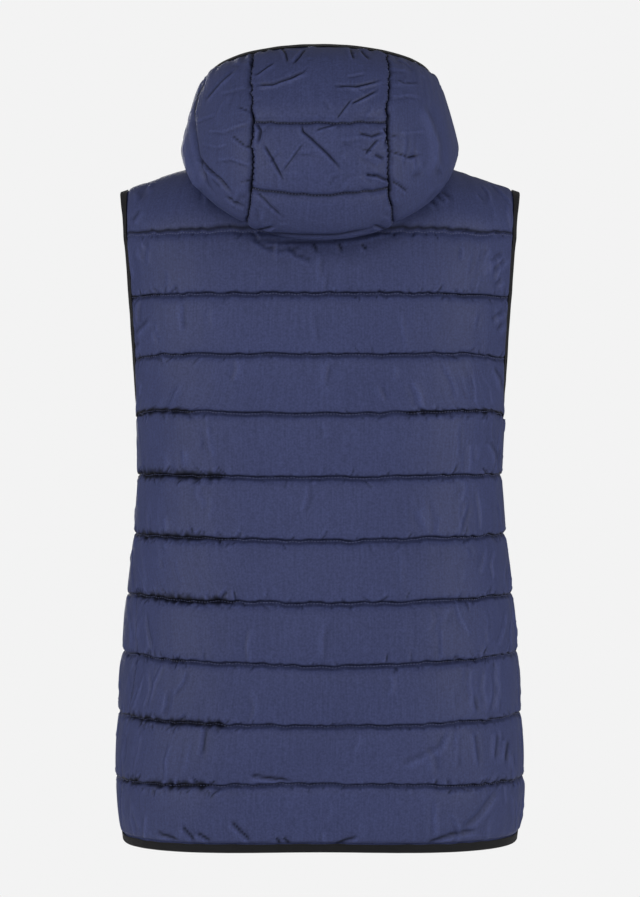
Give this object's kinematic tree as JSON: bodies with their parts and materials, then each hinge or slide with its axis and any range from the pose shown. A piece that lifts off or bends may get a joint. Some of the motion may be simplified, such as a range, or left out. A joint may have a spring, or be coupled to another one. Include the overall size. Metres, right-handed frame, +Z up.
{
  "type": "quilted hooded vest",
  "caption": "Padded sleeveless vest in its worn form, quilted in horizontal channels, with a let-down hood, a front zip and elastic edge bindings; hollow, open at neck, armholes and hem.",
  "frame": {"origin": "between the shoulders, at the height where the shoulder seams bear on the wearer", "axes": "+Z up, -Y towards the front zip, +X towards the wearer's left"},
  "size_m": [0.4042, 0.3561, 0.7717],
  "materials": {
    "navy_shell": "satin",
    "black_elastic": "matte",
    "zip_tape": "matte",
    "zip_coil": "satin",
    "zip_metal": "satin"
  },
  "bodies": {
    "vest": {"back_panel": "navy_shell", "front_panel_left": "navy_shell", "front_panel_right": "navy_shell", "hood_centre_panel": "navy_shell", "hood_side_left": "navy_shell", "hood_side_right": "navy_shell", "hood_binding": "black_elastic", "armhole_binding_left": "black_elastic", "armhole_binding_right": "black_elastic", "hem_binding": "black_elastic", "zip_tape_left": "zip_tape", "zip_tape_right": "zip_tape", "zip_chain": "zip_coil", "zip_bottom_box": "zip_coil", "zip_slider": "zip_metal"},
    "pull_tab": {"zip_pull_tab": "zip_metal"}
  },
  "joints": [
    {"name": "pull_tab_hinge", "type": "hinge", "parent": "vest", "child": "pull_tab", "pos_m": [0, -0.10072, 0.02207], "axis": [-1, 0, 0], "range_deg": [-5, 130]}
  ]
}
